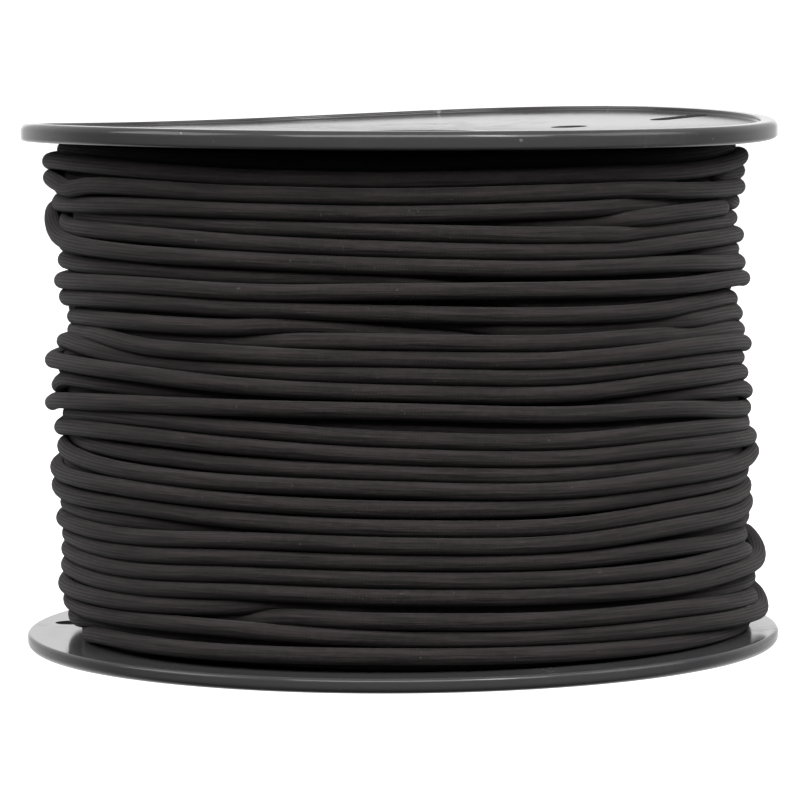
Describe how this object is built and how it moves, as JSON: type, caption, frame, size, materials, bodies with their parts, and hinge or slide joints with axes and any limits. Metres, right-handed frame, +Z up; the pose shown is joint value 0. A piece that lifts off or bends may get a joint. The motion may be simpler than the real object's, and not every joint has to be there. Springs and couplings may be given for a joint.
{
  "type": "flanged spool wound with shock cord",
  "caption": "Upright flanged plastic spool wound full with braided elastic shock cord.",
  "frame": {"origin": "on the spool's axis, in the plane that it stands on", "axes": "+Z up along the spool's axis, -Y towards the side that the picture shows, +X to its right"},
  "size_m": [0.14, 0.14, 0.0981],
  "materials": {
    "spool_plastic": "charcoal moulded plastic, glossy, with light scuffs",
    "cord_sheath": "black braided textile sheath over rubber, matt with a faint sheen"
  },
  "bodies": {
    "root": {"spool_lower_half": "spool_plastic", "spool_upper_half": "spool_plastic", "cord_winding": "cord_sheath"}
  },
  "joints": []
}
